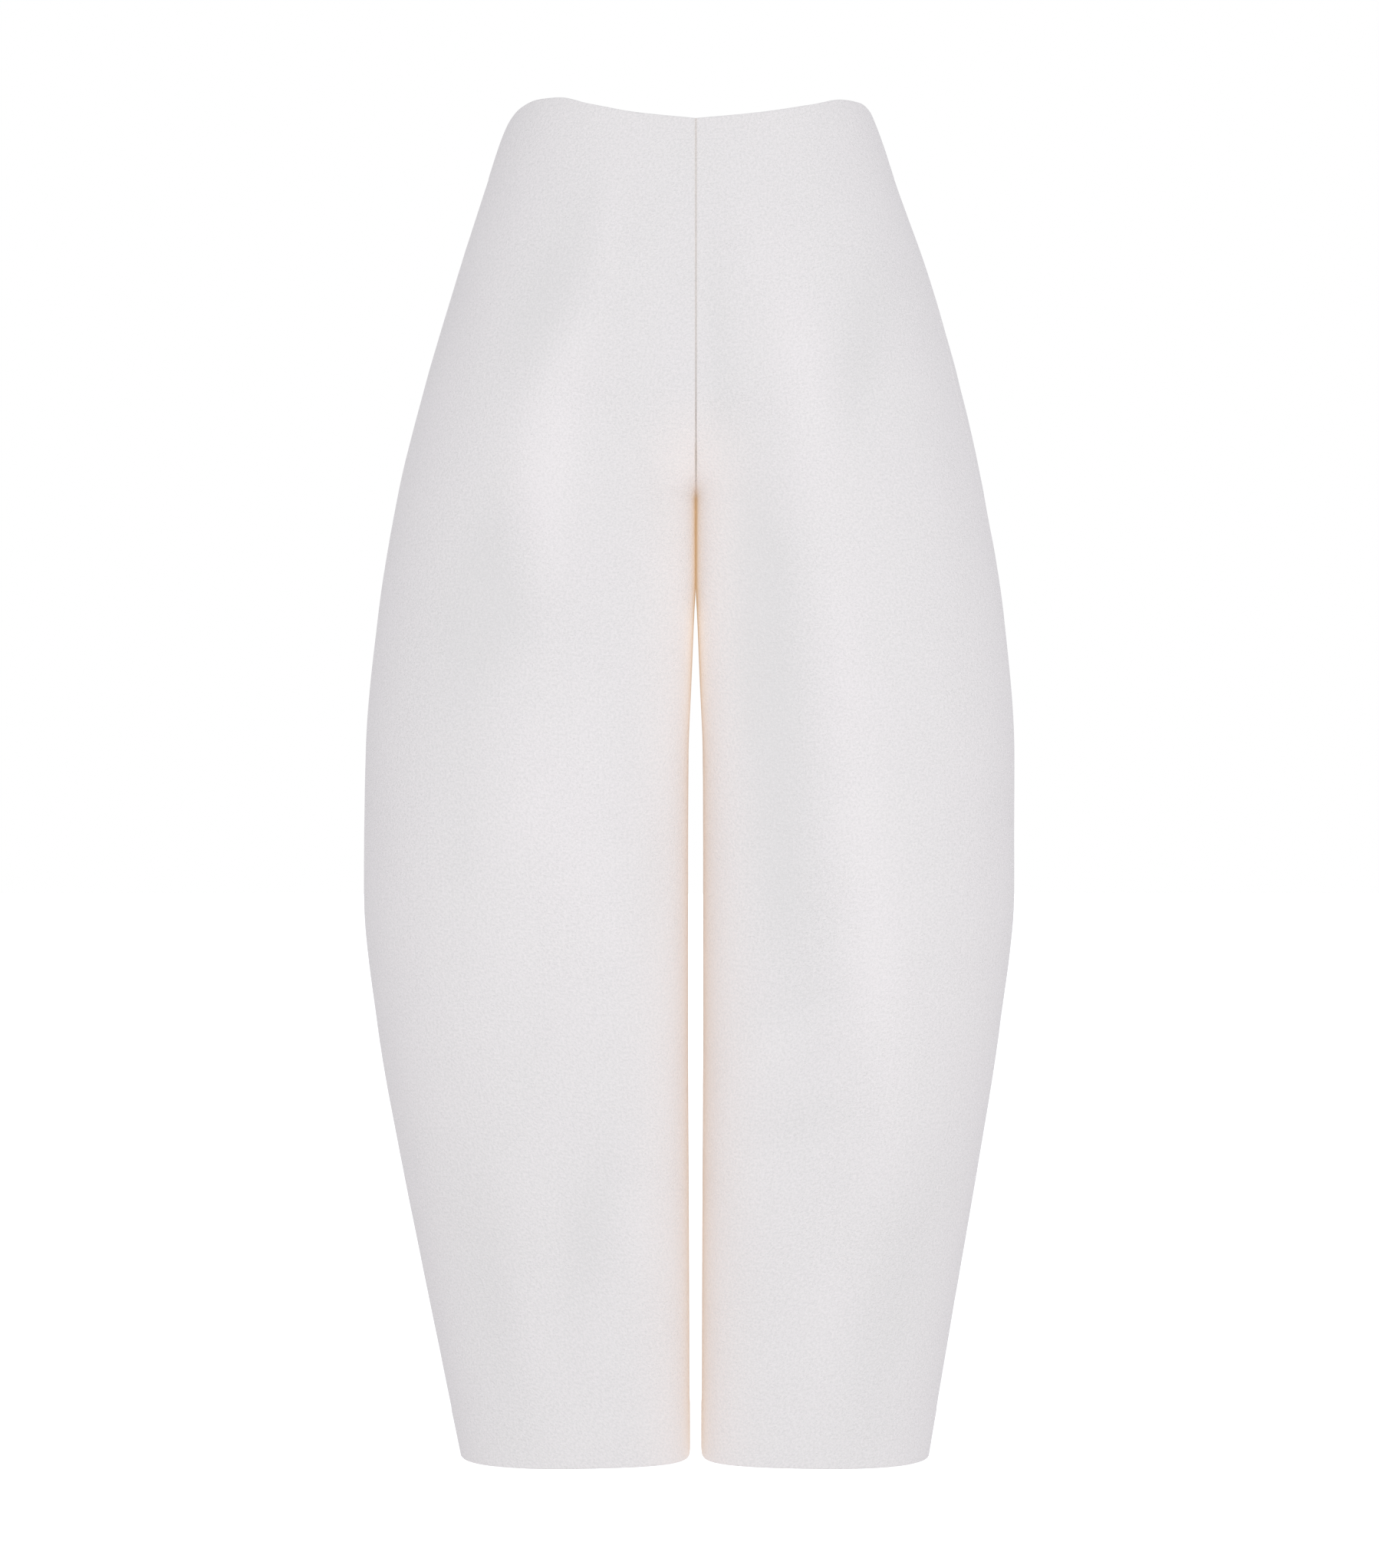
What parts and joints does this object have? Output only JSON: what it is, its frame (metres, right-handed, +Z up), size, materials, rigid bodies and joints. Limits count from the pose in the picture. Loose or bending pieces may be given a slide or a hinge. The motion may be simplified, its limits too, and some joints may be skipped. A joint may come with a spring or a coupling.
{
  "type": "barrel leg trousers",
  "caption": "Hollow barrel leg trousers as worn: full curved legs, dipped waist edge, open waist and hems, centre seams and a concealed side zip with a hanging pull.",
  "frame": {"origin": "middle of the waist ring, 23 mm below the highest points of the waist edge, where the wearer's waist holds the trousers up", "axes": "+Z up, -Y out of the front, +X towards the wearer's left; x = 0 is the plane of the centre front and centre back seams"},
  "size_m": [0.4778, 0.2424, 0.9881],
  "materials": {
    "crepe_cloth": "matt ivory crepe with a fine pebbled relief",
    "zip_tape": "flat woven tape",
    "zip_enamel": "satin enamel over die-cast metal"
  },
  "bodies": {
    "root": {"front_left": "crepe_cloth", "front_right": "crepe_cloth", "back_left": "crepe_cloth", "back_right": "crepe_cloth", "zip_tape": "zip_tape", "zip_slider": "zip_enamel"},
    "zip_pull": {"zip_pull": "zip_enamel"}
  },
  "joints": [
    {"name": "pull_swing", "type": "hinge", "parent": "root", "child": "zip_pull", "pos_m": [0.13855, 0.02102, -0.00379], "axis": [0.1153, -0.9757, 0.1862], "range_deg": [0, 150]}
  ]
}
